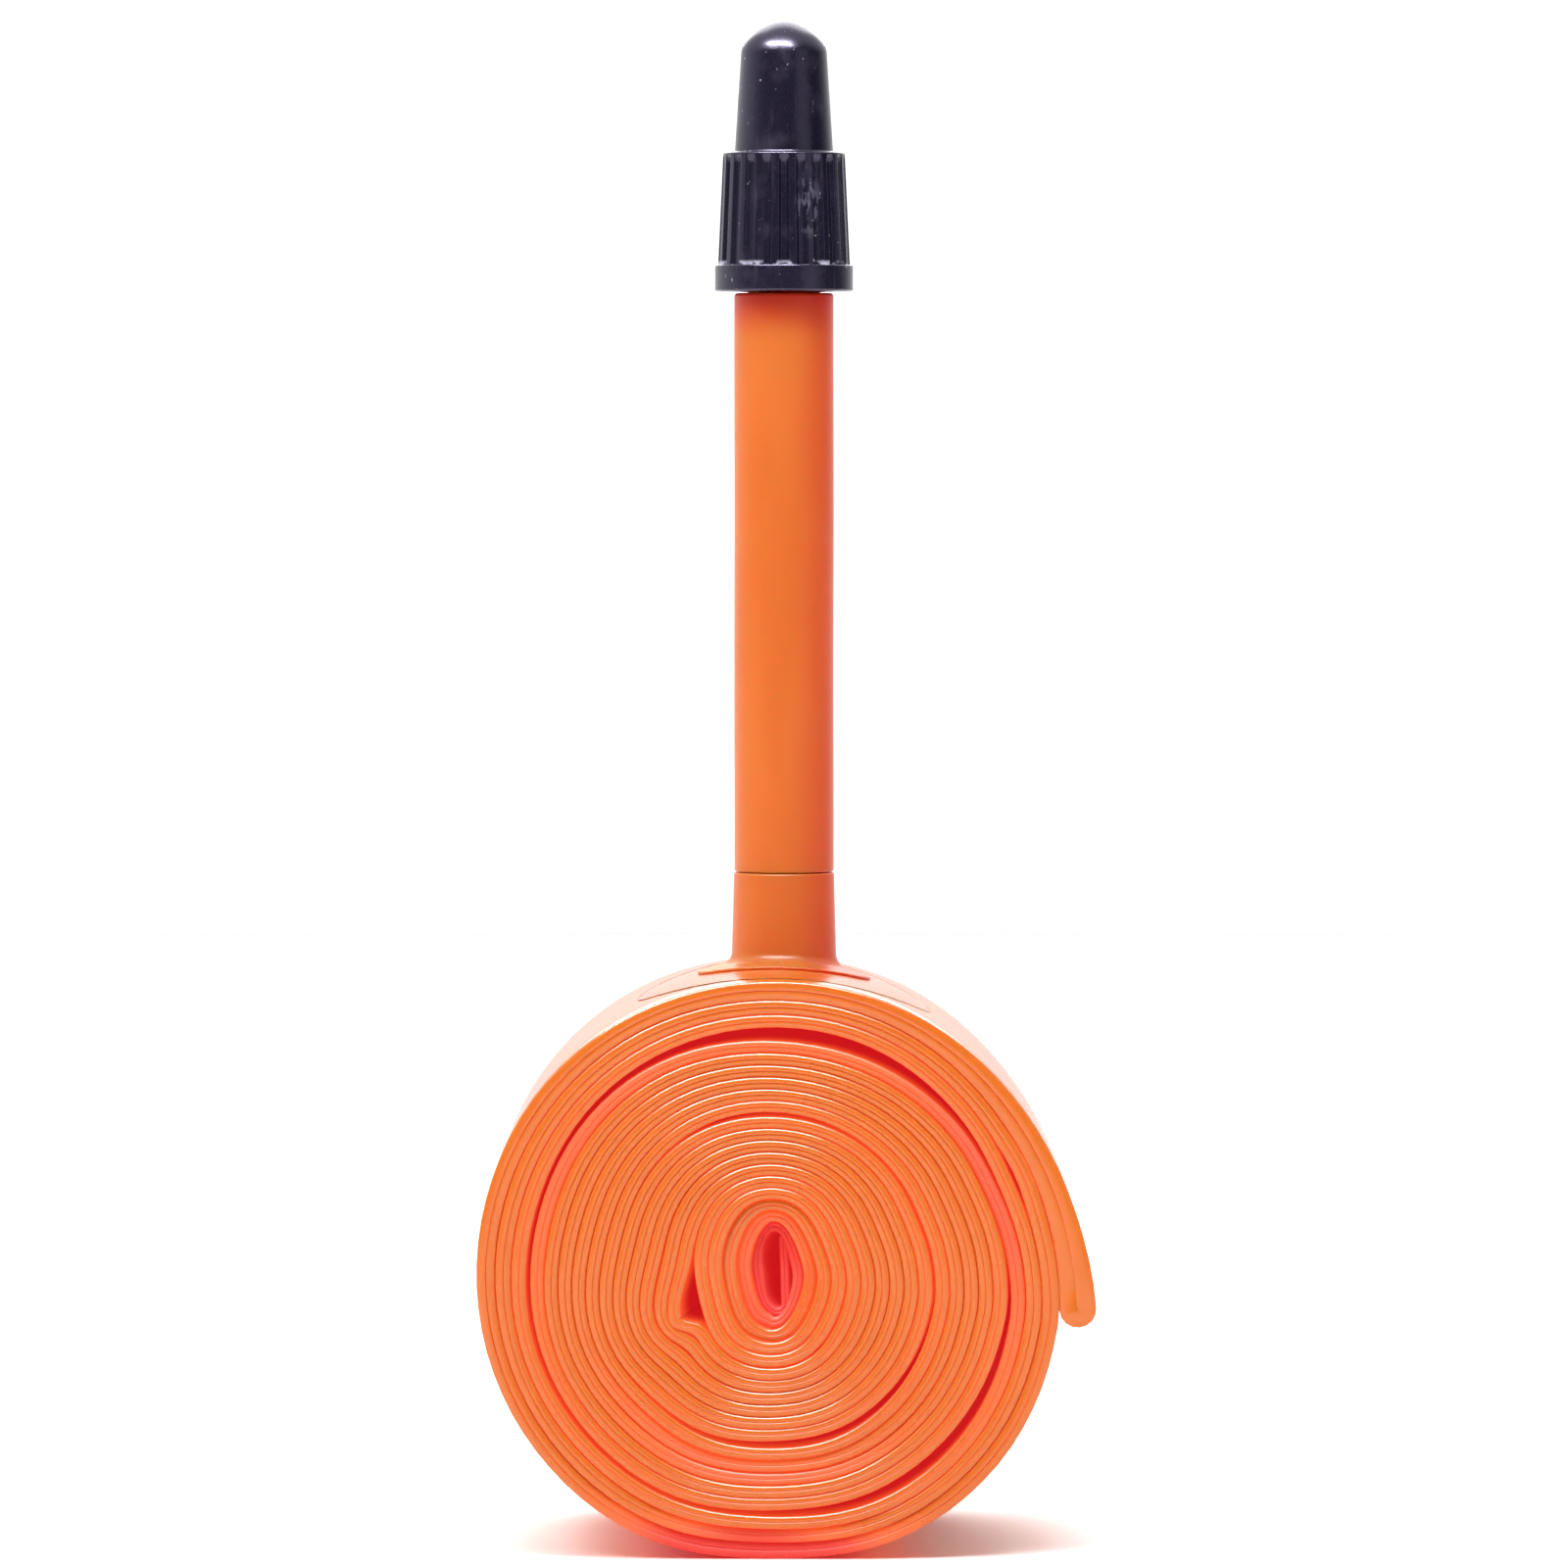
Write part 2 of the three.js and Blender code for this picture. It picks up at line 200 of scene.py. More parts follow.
class Finish:
    # one material with its Principled shader
    def __init__(self, name, **constants):
        self.material = bpy.data.materials.new(name)
        self.material.use_nodes = True
        self.nodes = self.material.node_tree.nodes
        self.shader = self.nodes["Principled BSDF"]
        for socket, value in constants.items():
            self.shader.inputs[socket.replace("_", " ")].default_value = value

    def node(self, kind, settings=None, inputs=None, output=0):
        made = self.nodes.new(kind)
        for key, value in (settings or {}).items():
            setattr(made, key, value)
        for key, value in (inputs or {}).items():
            self.feed(made.inputs[key], value)
        return Signal(self, made.outputs[output])

    def feed(self, socket, value):
        if isinstance(value, Signal):
            self.material.node_tree.links.new(value.socket, socket)
        else:
            socket.default_value = value

    def set(self, **values):
        for socket, value in values.items():
            self.feed(self.shader.inputs[socket.replace("_", " ")], value)

    def spot(self, scale=(1, 1, 1), shift=(0, 0, 0)):
        # Object coordinates, stretched and then shifted
        at = self.node("ShaderNodeTexCoord", output="Object")
        return self.node("ShaderNodeMapping", {}, {"Vector": at, "Scale": scale, "Location": shift})

    def part(self, vector, axis):
        # one of a vector's three numbers
        return self.node("ShaderNodeSeparateXYZ", {}, {"Vector": vector}, axis)

    def noise(self, vector, scale, detail=3.0, roughness=0.5):
        return self.node("ShaderNodeTexNoise", {}, {
            "Vector": vector, "Scale": scale, "Detail": detail, "Roughness": roughness})

    def between(self, value, low, high):
        # 0 to 1 as value goes from low to high, smoothly
        return self.node("ShaderNodeMapRange", {"interpolation_type": "SMOOTHSTEP"}, {
            "Value": value, "From Min": low, "From Max": high, "To Min": 0.0, "To Max": 1.0})

    def mix(self, share, first, second):
        # colour mix; a plain colour is four numbers
        return self.node("ShaderNodeMix", {"data_type": "RGBA"}, {0: share, 6: first, 7: second}, 2)

    def bump(self, height, distance, strength=1.0, under=None):
        inputs = {"Height": height, "Distance": distance, "Strength": strength}
        if under is not None:
            inputs["Normal"] = under
        return self.node("ShaderNodeBump", {}, inputs)


def colour(red, green, blue):
    return (red, green, blue, 1.0)


def place(piece, material, node, body):
    piece.data.materials.append(material)
    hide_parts(node)
    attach(piece, body)


def dress(node, material):
    # a CAD node that shows as it is, with its own finish
    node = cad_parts[node]
    node.data.materials.clear()
    node.data.materials.append(material)


tubeLow, tubeHigh = corners("tube_casing")

view = {
    "distance": 640 * mm,
    "sensor": 36,              # millimetres, as a camera counts it
    "rise": 2.0,               # degrees
    "frameHeight": 92.9 * mm,
    "aimHeight": 45.6 * mm,
}


def addCamera():
    # the frame is frameHeight tall at the near end of the roll
    lens = bpy.data.cameras.new("camera")
    lens.sensor_width = view["sensor"]
    lens.lens = view["sensor"] * (view["distance"] + tubeLow[1]) / view["frameHeight"]
    lens.clip_start, lens.clip_end = 0.01, 20
    camera = bpy.data.objects.new("camera", lens)
    bpy.context.scene.collection.objects.link(camera)
    rise = math.radians(view["rise"])
    aim = Vector((0, 0, view["aimHeight"]))
    camera.location = aim + Vector((0, -math.cos(rise), math.sin(rise))) * view["distance"]
    camera.rotation_euler = (aim - camera.location).to_track_quat("-Z", "Y").to_euler()
    bpy.context.scene.camera = camera


lamps = {
    "keyLeft": {"at": (-0.28, -0.42, 0.58), "across": 0.24, "deep": 0.24, "watts": 2.3},
    "overhead": {"at": (0.02, -0.30, 0.60), "across": 0.30, "deep": 0.20, "watts": 2.2},
    "backTop": {"at": (0.0, 0.45, 0.40), "across": 0.50, "deep": 0.50, "watts": 2.4},
    "fillRight": {"at": (0.50, -0.45, 0.20), "across": 0.40, "deep": 0.40, "watts": 0.3},
    "strip": {"at": (-0.10, -0.30, 0.60), "across": 0.66, "deep": 0.09, "watts": 17.0},
}
room = {"seen": 1.15, "behind": 1.1, "inFront": 0.05, "lean": (-0.45, 1.0, 1.2), "from": -0.3, "to": 0.9}


def addLight():
    # Soft boxes that face the middle of the part, in a room that is pale all round for the camera. The
    # room lights the part more from above, from behind and from the left, by the direction along lean.
    middle = Vector((0, 0, 0.04))
    for name, lamp in lamps.items():
        light = bpy.data.lights.new(name, "AREA")
        light.shape = "RECTANGLE"
        light.size, light.size_y, light.energy = lamp["across"], lamp["deep"], lamp["watts"]
        holder = bpy.data.objects.new(name, light)
        bpy.context.scene.collection.objects.link(holder)
        holder.location = lamp["at"]
        holder.rotation_euler = (middle - holder.location).to_track_quat("-Z", "Y").to_euler()
        holder.visible_diffuse = name != "strip"    # the strip only gives highlights
    world = bpy.data.worlds.new("studio")
    bpy.context.scene.world = world
    world.use_nodes = True
    nodes, links = world.node_tree.nodes, world.node_tree.links
    where = nodes.new("ShaderNodeTexCoord")
    lean = nodes.new("ShaderNodeVectorMath")
    lean.operation = "DOT_PRODUCT"
    lean.inputs[1].default_value = room["lean"]
    share = nodes.new("ShaderNodeMapRange")
    share.interpolation_type = "SMOOTHSTEP"
    limits = {"From Min": "from", "From Max": "to", "To Min": "inFront", "To Max": "behind"}
    for socket, key in limits.items():
        share.inputs[socket].default_value = room[key]
    path = nodes.new("ShaderNodeLightPath")
    seen = nodes.new("ShaderNodeMix")
    seen.inputs["B"].default_value = room["seen"]
    links.new(where.outputs["Generated"], lean.inputs[0])
    links.new(lean.outputs["Value"], share.inputs["Value"])
    links.new(path.outputs["Is Camera Ray"], seen.inputs["Factor"])
    links.new(share.outputs["Result"], seen.inputs["A"])
    links.new(seen.outputs["Result"], nodes["Background"].inputs["Strength"])
    nodes["Background"].inputs["Color"].default_value = colour(1, 1, 1)
    bpy.context.scene.view_settings.view_transform = "Standard"


def addFloor():
    # a plain round sheet just under the part
    reach, around, drop = 0.75, 96, 0.02 * mm
    angle = np.arange(around) / around * fullTurn
    rim = np.stack([reach * np.cos(angle), reach * np.sin(angle), 0 * angle - drop], -1)
    mesh = bpy.data.meshes.new("floor")
    mesh.from_pydata(rim.tolist(), [], [list(range(around))])
    floor = bpy.data.objects.new("floor", mesh)
    bpy.context.scene.collection.objects.link(floor)
    paint = Finish("floorPaint", Base_Color=colour(0.95, 0.95, 0.95), Roughness=0.6)
    mesh.materials.append(paint.material)


addCamera()
addLight()
addFloor()
print("stage: camera, light and floor")


roll = {
    "raysPerTurn": 84,
    "sideRoom": 0.1 * mm,      # kept free on the left, inside the CAD casing's box
    "tipAngle": -6.0,          # degrees, where the free end stops; 0 is right, 90 is up
    "laps": 18.74,             # turns from the free end to the start of the tongue in the middle
    "coreAcross": 1.15 * mm,   # half-widths of the innermost turn
    "coreUp": 2.7 * mm,
    "tongueBend": 0.8 * mm,    # outer radius where the strip turns up into the middle
    "tongueLength": 3.7 * mm,
    "tongueLean": 0.12 * mm,
    "strip": 0.735 * mm,       # four walls
    "looseStrip": 0.47 * mm,   # the outer turns are thicker by this, and less with each turn
    "looseTurns": 1.2,
    "flapSwell": 0.76 * mm,    # the fold at the free end
    "flapReach": 0.6,          # radians
    "flapLift": 1.6 * mm,
    "flapCurl": 2.4,
    "flapSpan": 1.1,
    "footDent": 0.62 * mm,     # pressed flat where it stands
    "footWidth": 20.0,
    "topDent": 0.28 * mm,      # pressed in under the valve
    "topWidth": 28.0,
    "pinch": 0.5 * mm,         # drawn in under the free end
    "pinchWidth": 24.0,
    "fineGap": 0.03 * mm,
    "bow": 2.2 * mm,           # how far the middle of the roll's length is pushed sideways inside
    "nose": 0.04 * mm,         # length of the rounded fold at each edge of the film
    "round": 0.11 * mm,        # how far the strip's outer walls stand back from its middle ones
    "lipSteps": 8,
    "flatSteps": 5,
    "ripple": 0.02 * mm,       # of the outermost turn's face
    "wander": 0.05 * mm,       # how unevenly the film's edges line up
    "inset": 0.12 * mm,        # how far they stand back everywhere
    "layerInset": 0.05 * mm,   # and how much more on the strip's inner layer
    "coreInset": 2.2 * mm,     # and in the middle of the roll, from coreFrom over coreTurns
    "coreFrom": 15,
    "coreTurns": 4.2,
    "layerGap": 0.004 * mm,    # half the room between the strip's two layers
    "foldPress": 0.09 * mm,    # extra wall where the free end is folded
    "gape": 0.18 * mm,         # a gap this wide gets the full painted glow
    "standBackGlow": 0.45 * mm,
    "glowReach": 0.8 * mm,     # how deep from the far end the painted glow starts
}

# places where a turn doesn't lie on the one inside it: whole turns in from the free end, direction
# in degrees, width before and after in degrees, and gap
slack = [
    (2, 78, 40, 40, 0.80 * mm),
    (2, 190, 75, 75, 0.24 * mm),
    (2, 308, 42, 42, 0.58 * mm),
    (1, 22, 8, 7, 0.20 * mm),
    (7, 284, 48, 46, 0.42 * mm),
    (8, 20, 45, 45, 0.14 * mm),
    (8, 92, 30, 36, 0.22 * mm),
    (13, 206, 24, 8, 1.25 * mm),
    (13, 300, 60, 60, 0.09 * mm),
    (5, 270, 50, 50, 0.08 * mm),
    (11, 200, 50, 50, 0.08 * mm),
]

# stretches where the film's edge stands back, which also get a painted red shade: whole turns in, direction,
# width and depth
standBack = [
    (3, 20, 60, 0.30 * mm),
    (3, 150, 60, 0.25 * mm),
    (5, 265, 55, 0.24 * mm),
    (6, 250, 50, 0.24 * mm),
    (0, 266, 28, 0.55 * mm),
    (1, 266, 22, 0.35 * mm),
]


def turnOf(lap, direction):
    # how far round the strip, in turns from the free end, that direction is on that lap
    return lap + ((direction - roll["tipAngle"]) % 360) / 360


def slackAt(t):
    # the sum of each gap times a bell round its place, wider on one side than on the other
    total = np.zeros_like(t)
    for lap, direction, before, after, gap in slack:
        away = (t - turnOf(lap, direction)) * 360
        total += gap * np.where(away < 0, hump(away, before), hump(away, after))
    return total


def stripAt(t):
    # strip + loose * e to the minus t / looseTurns + swell * e to the minus angle / flapReach
    loose = roll["looseStrip"] * np.exp(-t / roll["looseTurns"])
    swell = roll["flapSwell"] * np.exp(-t * fullTurn / roll["flapReach"])
    return roll["strip"] + loose + swell


def silhouette(t, radius):
    # outline of the outermost turn: a circle, lifted towards the free end and dented by floor and valve
    direction = (roll["tipAngle"] + 360 * t + 180) % 360 - 180
    lift = roll["flapLift"] * np.clip(1 - t * fullTurn / roll["flapSpan"], 0, 1) ** roll["flapCurl"]
    foot = roll["footDent"] * hump(direction + 90, roll["footWidth"])
    top = roll["topDent"] * hump(direction - 92, roll["topWidth"])
    pinch = roll["pinch"] * hump((t - 1) * 360, roll["pinchWidth"])
    return radius + lift - foot - top - pinch


def windStrip(radius):
    # Works outwards from an oval core, 1 / r = hypot(cos / across, sin / up). Each turn's face is the
    # face inside it, a little smoothed, plus the strip and its slack, measured square to the face. What
    # is left between the outermost turn and the outline is then shared evenly among the turns.
    rays = roll["raysPerTurn"]
    total = int(round(roll["laps"] * rays))
    t = np.arange(total + 1) / rays
    direction = math.radians(roll["tipAngle"]) + t * fullTurn
    oval = 1 / np.hypot(np.cos(direction) / roll["coreAcross"], np.sin(direction) / roll["coreUp"])
    r = oval + roll["strip"] * np.clip(roll["laps"] - t, 0, 1)
    margin = 6
    ease = np.array([1, 2, 3, 2, 1]) / 9
    block = rays - margin
    for stop in range(total - rays + 1, 0, -block):
        lap = np.arange(max(stop - block, 0), stop)
        near = np.clip(np.arange(lap[0] + rays - margin, lap[-1] + rays + margin + 1), 0, total)
        inside = np.convolve(np.pad(r[near], 2, "edge"), ease, "valid")
        slope = np.hypot(1, np.gradient(inside, fullTurn / rays) / inside)
        own = slice(margin, margin + len(lap))
        r[lap] = inside[own] + (stripAt(t[lap]) + slackAt(t[lap])) * slope[own]
    share = silhouette(t[:rays], radius) - r[:rays]
    share += (share[0] - share[-1]) * smooth((t[:rays] - 0.85) / 0.15)
    r += share[np.arange(total + 1) % rays] * np.clip(1 - t / roll["laps"], 0, 1)
    thick = np.full(total + 1, roll["strip"] - roll["fineGap"])
    thick[:-rays] = r[:-rays] - r[rays:] - slackAt(t[:-rays]) - roll["fineGap"]
    kernel = np.hanning(9) / np.hanning(9).sum()
    thick[4:-4] = np.convolve(thick, kernel, "valid")
    change = np.gradient(r, fullTurn / rays) / r
    return t, direction, r, thick / np.hypot(1, change)


def tongue(start, heading):
    # the strip turns up into the middle on a quarter circle and ends in a nearly upright straight
    bend = roll["tongueBend"]
    angle = np.linspace(heading, math.pi, 10)[1:, None] - math.pi / 2
    first = np.array([math.cos(heading - math.pi / 2), math.sin(heading - math.pi / 2)])
    arc = start + bend * (np.concatenate([np.cos(angle), np.sin(angle)], 1) - first)
    arc = arc[arc[:, 1] - start[1] < bend]
    way = np.array([-roll["tongueLean"], roll["tongueLength"]])
    return np.vstack([arc, arc[-1] + way * np.linspace(0, 1, 15)[1:, None]])


def standBackAt(t):
    # the sum of each depth times a bell round its place
    total = np.zeros_like(t)
    for lap, centre, width, depth in standBack:
        total += depth * hump((t - turnOf(lap, centre)) * 360, width)
    return total


def recessAt(t, layer):
    # how far the film's edge stands back from the end of the roll: a little for each turn, more in
    # the middle, and more on the inner layer of the doubled strip
    wander = roll["wander"] * (waves(t, 11, 9, 7.3) + 0.8 * waves(t, 12, 5, 1.9))
    middle = roll["coreInset"] * smooth((t - roll["coreFrom"]) / roll["coreTurns"])
    return roll["inset"] + wander + middle + standBackAt(t) + layer * roll["layerInset"]


rollRadius = (tubeHigh[2] + roll["footDent"]) / 2    # before the floor presses it flat
rollCentre = np.array([tubeLow[0] + rollRadius + roll["sideRoom"], rollRadius - roll["footDent"]])
turns, direction, faceRadius, stripThickness = windStrip(rollRadius)


def crownHeight(x):
    # height of the roll's outer face over x, near its top
    top = slice(int(0.12 * roll["raysPerTurn"]), int(0.45 * roll["raysPerTurn"]))
    faceX = rollCentre[0] + faceRadius[top] * np.cos(direction[top])
    faceZ = rollCentre[1] + faceRadius[top] * np.sin(direction[top])
    return np.interp(x, faceX[::-1], faceZ[::-1])


def buildRolledTube():
    # the flattened tube's section, carried along a line that runs in on the strip's outer layer, turns
    # back at the tongue, runs out on the inner layer and closes in a fold at the free end
    face = rollCentre + np.stack([faceRadius * np.cos(direction), faceRadius * np.sin(direction)], -1)
    last = face[-1] - face[-2]
    middle = tongue(face[-1], math.atan2(last[1], last[0]))
    t = np.concatenate([turns, turns[-1] + 0.04 * np.arange(1, len(middle) + 1)])
    thick = np.concatenate([stripThickness, np.full(len(middle), stripThickness[-1])])
    face = np.vstack([face, middle])
    tangent = np.gradient(face, axis=0)
    tangent /= np.linalg.norm(tangent, axis=1)[:, None]
    normal = np.stack([tangent[:, 1], -tangent[:, 0]], -1)
    outer = face - normal * thick[:, None] * 0.25
    inner = face - normal * thick[:, None] * 0.75

    def fold(k, way):
        # half circle that joins the two layers where the tube is doubled
        bend = np.linspace(0, math.pi, 9)[1:-1, None]
        pivot = face[k] - normal[k] * thick[k] * 0.5
        return pivot + thick[k] * 0.25 * (np.cos(bend) * normal[k] + np.sin(bend) * tangent[k] * way)

    coreFold = fold(-1, 1)
    tipFold = fold(0, -1)[::-1]
    line = np.vstack([outer, coreFold, inner[::-1], tipFold])
    coreTurns, tipTurns = np.full(len(coreFold), t[-1]), np.zeros(len(tipFold))
    wound = np.concatenate([t, coreTurns, t[::-1], tipTurns])
    layer = np.concatenate([0 * t, 0.5 + 0 * coreTurns, 1 + 0 * t, 0.5 + tipTurns])
    half = np.concatenate([thick, thick[-1] + 0 * coreTurns, thick[::-1], thick[0] + tipTurns]) / 4
    half = half - roll["layerGap"] + roll["foldPress"] * hump(wound, 0.03)

    # the ring's own direction and side, from the points before and after each
    ahead = np.roll(line, -1, 0) - np.roll(line, 1, 0)
    ahead /= np.linalg.norm(ahead, axis=1)[:, None]
    side = np.stack([ahead[:, 1], -ahead[:, 0]], -1)

    # section: once round the flattened tube. lift is across the strip and reach is along the roll,
    # both -1 to 1; nose is how far the rounded fold stands out
    lip = np.radians(np.linspace(-90, 90, roll["lipSteps"] + 1))
    flat = np.linspace(0, 1, roll["flatSteps"] + 2)[1:-1]
    lift = np.concatenate([np.sin(lip), 1 + 0 * flat, -np.sin(lip), -1 + 0 * flat])
    reach = np.concatenate([-1 + 0 * lip, 2 * flat - 1, 1 + 0 * lip, 1 - 2 * flat])
    nose = np.concatenate([np.cos(lip), 0 * flat, np.cos(lip), 0 * flat])
    width = tubeHigh[1] - tubeLow[1]
    across = (1 + lift) / 2    # 0 in the middle of the doubled strip, 1 at its faces
    rounding = roll["round"] * (1 - np.sqrt(1 - 0.98 * across ** 2)) * (np.abs(reach) == 1)
    y = reach * (width / 2 - roll["nose"]) + np.sign(reach) * (nose * roll["nose"] - rounding)
    inset = recessAt(wound, layer)[:, None]
    y = y[None] + inset
    ripple = roll["ripple"] * waves(wound, 21, 9, 0.31)[:, None] * np.sin(reach * 5.0)[None]
    offset = lift[None] * half[:, None] + ripple * (smooth(wound / 0.15) * (wound < 1))[:, None]
    x = line[:, :1] + side[:, :1] * offset
    z = line[:, 1:] + side[:, 1:] * offset

    # the inside of the roll bows sideways along its length: most at the axis, none at the outer face
    far = np.hypot(x - rollCentre[0], z - rollCentre[1]) / rollRadius
    x = x + roll["bow"] * np.clip(1 - far ** 2, 0, 1) * np.cos(np.clip(y / width, -0.5, 0.5) * math.pi) ** 2
    rings = np.stack([x, y, np.maximum(z, 0)], -1)
    steps = np.linalg.norm(line - np.roll(line, 1, 0), axis=1)
    along = np.repeat(np.cumsum(steps)[:, None], len(lift), 1)
    print("rolled tube: ring length", round(steps.sum() / mm), "mm, turns", round(turns[-1], 2))

    # painted glow and shade, standing in for light that comes through the walls and for shade in the gaps: it
    # is 1 deep between the turns where they gape, less where they lie close, 0 on the outside of the roll and
    # on what stands out at its far end, and in between on film edges that stand back
    gaping = smooth((slackAt(wound) + slackAt(wound - 1)) / roll["gape"])
    depth = (0.45 + 0.55 * np.maximum(gaping, smooth((wound - 12) / 4)))[:, None]
    edge = np.where(np.abs(reach) == 1, 0.5 * across ** 5 + 0.5 * (1 - across) ** 8, 1.0)[None] * depth
    # painted shade: film edges that stand back, and the middle turns, turn a deeper red
    paintedSunkShade = smooth(standBackAt(wound) / roll["standBackGlow"])
    paintedSunkShade = 0.95 * np.maximum(paintedSunkShade, smooth((wound - 16.4) / 2.0))[:, None]
    paintedGlow = np.maximum(edge, paintedSunkShade)
    outside = ((layer[:, None] < 0.5) & (lift > 0.2)[None] & (wound < 1)[:, None]) | (wound < 0.02)[:, None]
    paintedGlow = np.where(outside, paintedSunkShade * (wound > 0.5)[:, None], paintedGlow)
    paintedGlow = paintedGlow * smooth((tubeHigh[1] + 0.1 * mm - y) / roll["glowReach"])
    maps = {"alongAcross": np.stack([along, y], -1), "paintedGlow": np.stack([paintedGlow, paintedGlow], -1)}
    return surface("rolledTube", rings, closed=True, maps=maps)


film = {
    "pale": colour(0.63, 0.145, 0.014),
    "full": colour(0.59, 0.115, 0.008),
    "deep": colour(0.44, 0.016, 0.009),      # painted shade: the deeper red that stands in for light that has come through several walls
    # painted glow: red emission colours for light coming through the walls, into wide gaps and into tight
    # ones
    "through": colour(0.32, 0.007, 0.009),
    "shallow": colour(0.40, 0.052, 0.014),
    "roughness": 0.13,
    "deepRoughness": 0.5,
}


def tubeFilm(glowing=True):
    # glossy film. When glowing, its glow map paints it deeper red and gives it a red emission between the
    # turns: painted shade and painted glow for light that comes through the walls
    finish = Finish("tubeFilm" if glowing else "patchFilm", IOR=1.5)
    finish.set(Subsurface_Weight=0.15, Subsurface_Scale=0.0004)
    finish.shader.inputs["Subsurface Radius"].default_value = (1.0, 0.5, 0.3)
    cloud = finish.noise(finish.spot(), 90.0, 3.0)
    grain = finish.noise(finish.spot(), 2600.0, 3.0)
    tone = finish.mix(cloud, film["pale"], film["full"])
    rough = film["roughness"] + grain * 0.08 + cloud * 0.05
    if glowing:
        sheet = finish.node("ShaderNodeUVMap", {"uv_map": "alongAcross"})
        stretched = finish.node("ShaderNodeMapping", {}, {"Vector": sheet, "Scale": (60, 900, 1)})
        streaks = finish.between(finish.noise(stretched, 1.0, 4.0, 0.6), 0.35, 0.75)
        tone = finish.mix(0.5 * streaks, tone, film["pale"])
        glowMap = finish.node("ShaderNodeUVMap", {"uv_map": "paintedGlow"})
        paintedGlow = finish.part(glowMap, 0)
        tone = finish.mix(paintedGlow, tone, film["deep"])
        rough = rough + paintedGlow * film["deepRoughness"]
        # painted glow: a red emission, though the film is no lamp
        finish.shader.inputs["Emission Strength"].default_value = 1.0
        shallow = finish.mix(finish.between(paintedGlow, 0.0, 0.5), colour(0, 0, 0), film["shallow"])
        finish.set(Emission_Color=finish.mix(finish.between(paintedGlow, 0.5, 1.0), shallow, film["through"]))
        creased = finish.node("ShaderNodeMapping", {}, {"Vector": sheet, "Scale": (220, 1200, 1)})
        waved = finish.bump(finish.noise(creased, 1.0, 3.0), 0.000015, 0.5)
        finish.set(Normal=finish.bump(grain, 0.000004, 0.5, waved))
    else:
        finish.set(Normal=finish.bump(grain, 0.000006, 0.5))
    finish.set(Base_Color=tone, Roughness=rough)
    return finish.material


rolledTube = buildRolledTube()
place(rolledTube, tubeFilm(), "tube_casing", "tube")
print("stage: rolled tube", len(rolledTube.data.polygons), "faces")


base = {
    "patchWall": 0.2 * mm,
    "patchEdge": 0.06 * mm,    # wall at the thin rim
    "airBore": 1.5 * mm,
    "flangeWall": 0.3 * mm,
    "filletReach": 0.4 * mm,   # from the collar out onto the flange
    "filletRise": 0.35 * mm,
    "collarFoot": 3.16 * mm,
    "collarTop": 3.03 * mm,
    "socket": 2.35 * mm,
}


def buildPatch():
    # an oval sheet laid on the roll: height = crown + share of the wall, thinning towards the rim as
    # wall * (1 - share^6)
    high = corners("valve_patch")[1]
    halfX, halfY = high[0] - 0.1 * mm, high[1] - 0.1 * mm
    share = np.linspace(0, 1, 26) ** 0.8
    hole = base["airBore"]
    over = np.stack([share, 1 - share ** 6], -1)
    under = np.stack([share[::-1], 0 * share], -1)
    profile = np.vstack([over, [[1.002, 0.5]], under])
    angle = np.arange(144) / 144 * fullTurn
    reachX = hole + (halfX - hole) * profile[:, :1]
    reachY = hole + (halfY - hole) * profile[:, :1]
    x, y = reachX * np.cos(angle), reachY * np.sin(angle)
    wall = base["patchEdge"] + (base["patchWall"] - base["patchEdge"]) * (1 - profile[:, :1] ** 6)
    z = crownHeight(x) + 0.02 * mm + wall * profile[:, 1:]
    return surface("valvePatch", np.stack([x, y, z], -1), closed=True)


def buildBase():
    # flange and collar in one moulding. The flange sits down on the crown: every height below the
    # collar's foot drops with the crown, less and less up the collar
    high = corners("valve_base")[1]
    seat = crownHeight(np.zeros(1))[0] + 0.04 * mm + base["patchWall"]
    lip = seat + base["flangeWall"]
    edge = high[0] - 0.03 * mm
    socketFloor = high[2] - 3.4 * mm
    outline = [
        [base["airBore"], seat, 0],
        [edge, seat, 0.06 * mm],
        [edge, seat + 0.5 * base["flangeWall"], 0.1 * mm],
        [base["collarFoot"] + base["filletReach"], lip, 0.5 * mm],
        [base["collarFoot"], lip + base["filletRise"], 0.5 * mm],
        [base["collarTop"], high[2], 0.12 * mm],
        [base["socket"], high[2], 0.05 * mm],
        [base["socket"], socketFloor, 0.05 * mm],
        [base["airBore"], socketFloor, 0.05 * mm],
    ]
    path = finer(np.vstack([rounded(outline), [outline[0][:2]]]), 0.25 * mm)[:-1]
    made = turnedPiece("valveBase", path, 128, ring=True)
    count = len(made.data.vertices)
    spots = np.empty(count * 3)
    made.data.vertices.foreach_get("co", spots)
    spots = spots.reshape(-1, 3)
    follow = 1 - smooth((spots[:, 2] - lip) / (0.9 * mm))
    spots[:, 2] += (crownHeight(spots[:, 0]) - crownHeight(np.zeros(1))[0]) * follow
    made.data.vertices.foreach_set("co", spots.ravel())
    made.data.update()
    return made


stemSizes = {
    "airBore": 1.5 * mm,
    "spigot": 2.2 * mm,
    "socket": 2.3 * mm,
    "seamHeight": 0.025 * mm,  # mould line down each side
    "seamWidth": 0.03,         # radians
    "swayHeight": 0.012 * mm,
    "standIn": 0.02 * mm,      # room for the mould line inside the CAD stem
}


